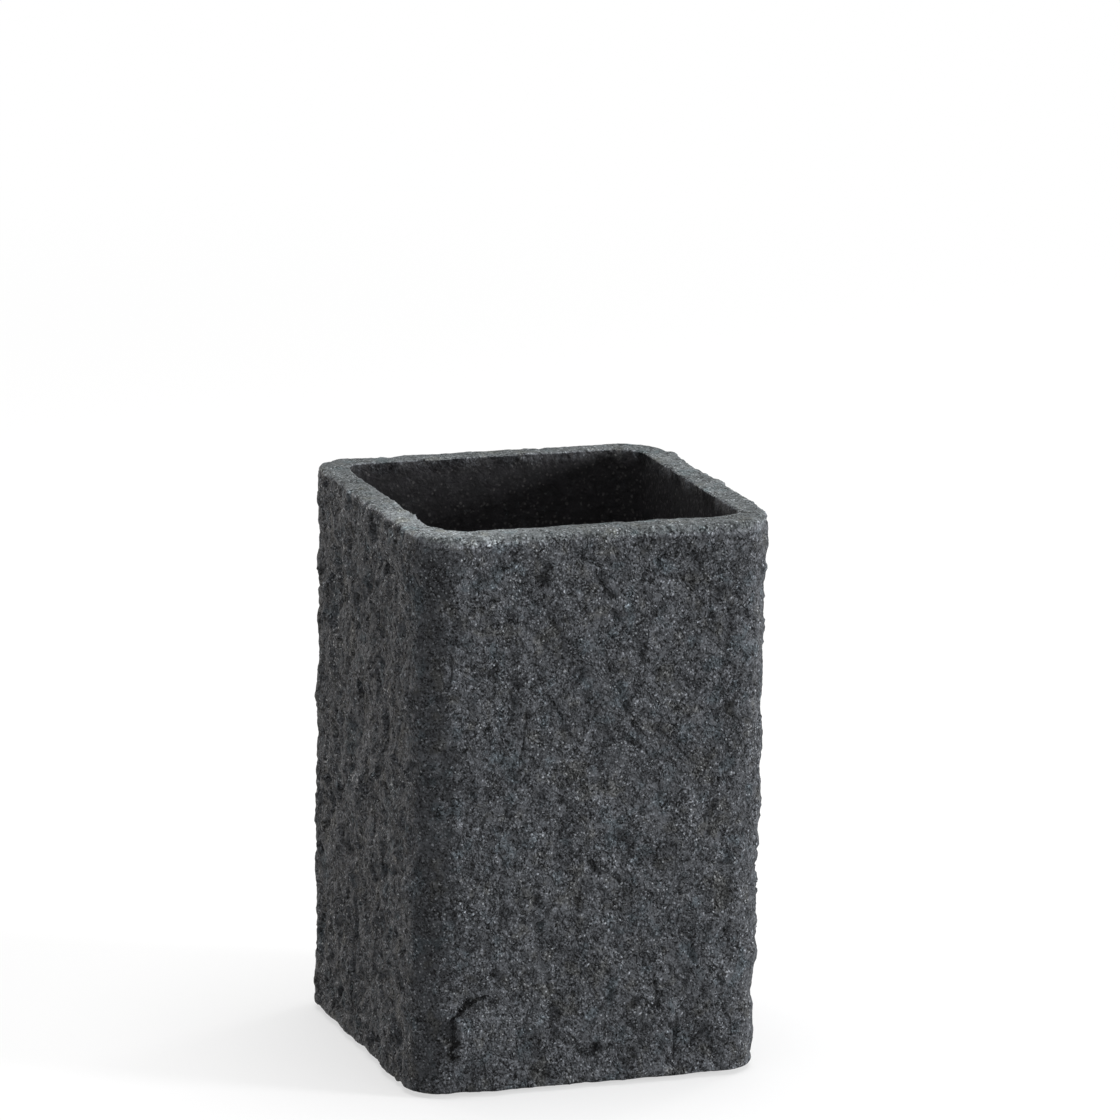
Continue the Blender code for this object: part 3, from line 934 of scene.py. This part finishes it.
    # quartz crystals, in clusters and alone
    crystals = tree.cells(place, stone["crystalSize"])
    high = tree.add("ShaderNodeSeparateXYZ", {}, {"Vector": place}, 2).between(*stone["crystalRise"])
    clusters = tree.noise(place, *stone["clusters"]) + high * stone["crystalGather"]
    clusters = clusters.between(*stone["crystalWhere"])
    clustered = randomOf(tree, crystals).between(*stone["crystalChance"]) * clusters
    quartz = crystals.between(*stone["crystalEdge"])
    quartz = quartz * (clustered + randomOf(tree, crystals).between(*stone["loneChance"]))
    colour = tree.blend(quartz * (1 - cavity) * stone["quartzShare"], colour, stone["quartz"])

    # the cavity's dark colour: a darker finish, and painted shade for the deep cup
    motes = pricks.between(*stone["moteEdge"]) * randomOf(tree, pricks, 1).between(*stone["moteTone"])
    shade = (fine - 0.5) * tones["cavityFine"] + (patch - 0.5) * tones["cavityPatch"]
    inner = tree.blend(motes, tree.vector("SCALE", stone["cavity"], scale=2 ** shade), stone["mote"])
    inside = brokenEdge(cavity, stone["cavityBreak"])
    tree.feed(shader.inputs["Base Color"], tree.blend(inside, colour, inner))
    roughness = stone["roughness"] - quartz * stone["quartzGloss"] - cavity * stone["cavityGloss"]
    tree.feed(shader.inputs["Roughness"], roughness)
    shader.inputs["Specular IOR Level"].default_value = stone["shine"]

    height = (fine * heights["fine"] - grain * heights["grain"]) * (patch * heights["patchGain"] + heights["calmest"])
    splits = tree.planes(place, stone["splitSize"], stone["splitTilt"], shift=0.01)
    crumbs = tree.planes(place, stone["crumbSize"], stone["splitTilt"], shift=0.02)
    height = height + (splits + crumbs) / mm + lumps * heights["lumps"]
    height = height - pores * heights["pores"] - pricked * heights["pricks"]
    height = height - ledge * ledgeThere * heights["ledges"] - shelf * heights["shelves"] - cracks * heights["cracks"]
    height = height * (1 - wear * heights["rimCalm"]) * (1 - cavity * heights["cavityCalm"])
    bump = tree.add("ShaderNodeBump", {}, {"Height": height, "Strength": 1.0, "Distance": mm}, "Normal")
    tree.feed(shader.inputs["Normal"], bump)
    return made


mineral = {
    "stops": [(0.0, (0.018, 0.018, 0.019, 1)), (0.40, (0.060, 0.064, 0.068, 1)), (0.80, (0.13, 0.14, 0.145, 1)),
              (0.96, (0.40, 0.42, 0.44, 1))],
    "flawSize": 0.3 * mm,
    "flawLevel": 0.5,          # added to the flaws' noise, by which the colour is scaled
    "roughness": (0.35, 0.85),
}


def makeMineral():
    made, tree, shader, place = newMaterial("mineral")
    tone = tree.add("ShaderNodeAttribute", {"attribute_name": "tone"}, output="Fac")
    flaws = tree.noise(place, mineral["flawSize"])
    colour = tree.add("ShaderNodeValToRGB", {"stops": mineral["stops"]}, {"Fac": tone})
    tree.feed(shader.inputs["Base Color"], tree.vector("SCALE", colour, scale=flaws + mineral["flawLevel"]))
    smooth, dull = mineral["roughness"]
    tree.feed(shader.inputs["Roughness"], flaws * (dull - smooth) + smooth)
    return made


feet = {
    "rubber": {"dark": (0.014, 0.014, 0.015, 1), "pale": (0.028, 0.028, 0.029, 1), "grain": (0.6 * mm, 3.0),
               "roughness": (0.5, 0.7), "bump": 0.3, "bumpHeight": 0.05 * mm},
    "tape": {"dark": (0.50, 0.48, 0.42, 1), "pale": (0.62, 0.60, 0.54, 1), "grain": (0.9 * mm, 4.0),
             "roughness": (0.3, 0.5), "bump": 0},
}


def makeFootMaterial(name):
    look = feet[name]
    made, tree, shader, place = newMaterial(name)
    speckle = tree.noise(place, *look["grain"])
    tree.feed(shader.inputs["Base Color"], tree.blend(speckle, look["dark"], look["pale"]))
    smooth, dull = look["roughness"]
    tree.feed(shader.inputs["Roughness"], speckle * (dull - smooth) + smooth)
    if look["bump"]:
        values = {"Height": speckle, "Strength": look["bump"], "Distance": look["bumpHeight"]}
        tree.feed(shader.inputs["Normal"], tree.add("ShaderNodeBump", {}, values, "Normal"))
    return made


castStone = makeStone()
rubber = makeFootMaterial("rubber")
tape = makeFootMaterial("tape")


def triangles(made):
    return sum(len(face.vertices) - 2 for face in made.data.polygons)


tumbler = applyTree("tumbler", makeBodyMesh(), makeReliefTree(), stoneRelief, castStone)
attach(tumbler, "root")
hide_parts("tumbler_body")
print("body made:", triangles(tumbler), "triangles")

grains = applyTree("mineral_grains", tumbler.data, makeGrainTree(), mineralGrains, makeMineral())
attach(grains, "root")
print("grains made:", triangles(grains), "triangles")

for name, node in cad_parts.items():
    if name.startswith("foot"):
        node.data.materials.clear()
        node.data.materials.append(tape if "tape" in name else rubber)
print("feet finished")


# Floor, light and background

room = {
    "floorSize": 6.0,
    "floorGap": 0.02 * mm,     # below the feet
    "floorColour": (0.50, 0.50, 0.50, 1),
    "floorSeen": (0.74, 0.74, 0.74, 1),     # what the camera sees of it, paler
    "floorRoughness": 0.9,
    "whiteShare": 0.6,         # of the floor that the camera sees as plain white, so that the shadow stays soft
    "whiteFrom": (0.25, 0.9),  # that share grows to all of it between these distances
    "worldStrength": 0.26,
    "lamps": {                 # the left one stands low behind the left face, and grazes it
        "top": {"at": (0.05, 0.05, 1.2), "size": 1.0, "power": 16.0, "colour": (1, 1, 1)},
        "frontRight": {"at": (1.22, -0.72, 0.36), "size": 0.32, "power": 23.0, "colour": (0.97, 0.98, 1)},
        "left": {"at": (-0.58, 1.0, 0.06), "size": 0.20, "power": 7.6, "colour": (1, 0.93, 0.86)},
        "backRight": {"at": (1.0, 0.60, 0.30), "size": 0.3, "power": 5.0, "colour": (1, 1, 1)},
    },
    "aim": Vector((0, 0, 50 * mm)),
}


def seenDirectly(tree):  # 1 where the camera, a mirror or a glass ray looks
    path = tree.add("ShaderNodeLightPath", output="Is Camera Ray")
    seen = path.math("MAXIMUM", tree.other(path, "Is Glossy Ray"))
    return seen.math("MAXIMUM", tree.other(path, "Is Transmission Ray"))


def makeFloor():
    mesh = bmesh.new()
    under = Matrix.Translation((0, 0, -room["floorGap"]))
    bmesh.ops.create_grid(mesh, x_segments=1, y_segments=1, size=room["floorSize"] / 2, matrix=under)
    data = bpy.data.meshes.new("floor")
    mesh.to_mesh(data)
    mesh.free()
    floor = bpy.data.objects.new("floor", data)
    bpy.context.scene.collection.objects.link(floor)
    made, tree, shader, place = newMaterial("paleFloor")
    seen = seenDirectly(tree)
    tree.feed(shader.inputs["Base Color"], tree.blend(seen, room["floorColour"], room["floorSeen"]))
    shader.inputs["Roughness"].default_value = room["floorRoughness"]
    shader.inputs["Specular IOR Level"].default_value = 0.0
    white = tree.add("ShaderNodeEmission", {}, {"Color": (1.0, 1.0, 1.0, 1.0), "Strength": 1.0})
    far = tree.vector("LENGTH", place, output="Value").between(*room["whiteFrom"])
    share = seen * (far * (1 - room["whiteShare"]) + room["whiteShare"])
    mixed = tree.add("ShaderNodeMixShader", {}, {0: share, 1: Socket(tree, shader.outputs[0]), 2: white})
    tree.feed(made.node_tree.nodes["Material Output"].inputs["Surface"], mixed)
    data.materials.append(made)


def makeWorld():
    world = bpy.data.worlds.new("studio")
    bpy.context.scene.world = world
    world.use_nodes = True
    tree = Tree(world.node_tree)
    background = world.node_tree.nodes["Background"]
    background.inputs["Color"].default_value = (1, 1, 1, 1)
    tree.feed(background.inputs["Strength"], seenDirectly(tree) * (1 - room["worldStrength"]) + room["worldStrength"])


def makeLamps():
    for name, lamp in room["lamps"].items():
        light = bpy.data.lights.new(name, "AREA")
        light.shape = "DISK"
        light.size = lamp["size"]
        light.energy = lamp["power"]
        light.color = lamp["colour"]
        holder = bpy.data.objects.new(name, light)
        bpy.context.scene.collection.objects.link(holder)
        holder.location = lamp["at"]
        holder.rotation_mode = "QUATERNION"
        holder.rotation_quaternion = (room["aim"] - holder.location).to_track_quat("-Z", "Y")


makeFloor()
makeWorld()
makeLamps()
bpy.context.scene.view_settings.view_transform = "Standard"
print("room lit")
